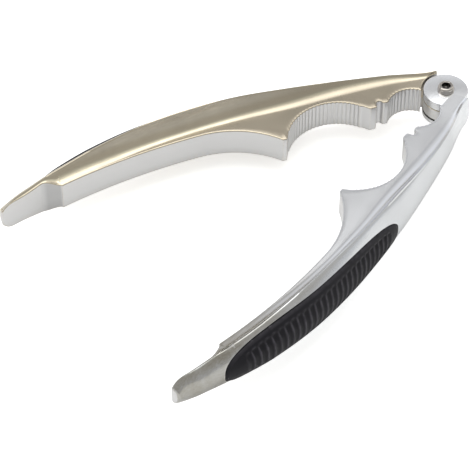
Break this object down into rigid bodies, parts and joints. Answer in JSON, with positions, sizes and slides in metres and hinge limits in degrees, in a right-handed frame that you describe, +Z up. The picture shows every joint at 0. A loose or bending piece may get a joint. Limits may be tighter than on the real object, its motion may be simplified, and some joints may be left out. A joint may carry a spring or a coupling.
{
  "type": "nutcracker",
  "caption": "Two-lever hand nutcracker: toothed large and small jaws, fork-and-tongue pivot, flared backs with ribbed rubber grips.",
  "frame": {"origin": "under the middle of the tool, on the surface that it lies on", "axes": "+X from the handle tips to the pivot, +Y towards the tongue lever, +Z up along the pivot axis"},
  "size_m": [0.1808, 0.1196, 0.0272],
  "materials": {
    "fork_satin_nickel": "satin nickel plate on a zinc die casting",
    "tongue_satin_nickel": "satin nickel plate on a zinc die casting",
    "grip_rubber": "charcoal, moulded with cross ribs",
    "polished_steel": "polished",
    "washer_nylon": "black, smooth"
  },
  "bodies": {
    "fork": {"fork_lever": "fork_satin_nickel", "fork_lever_grip": "grip_rubber", "pivot_screw": "polished_steel", "pivot_sleeve_nut": "polished_steel", "upper_washer": "washer_nylon", "lower_washer": "washer_nylon"},
    "tongue": {"tongue_lever": "tongue_satin_nickel", "tongue_lever_grip": "grip_rubber"}
  },
  "joints": [
    {"name": "lever_pivot", "type": "hinge", "parent": "fork", "child": "tongue", "pos_m": [0.08174, 0, 0.0136], "axis": [0, 0, 1], "range_deg": [-138, 27.5]}
  ]
}
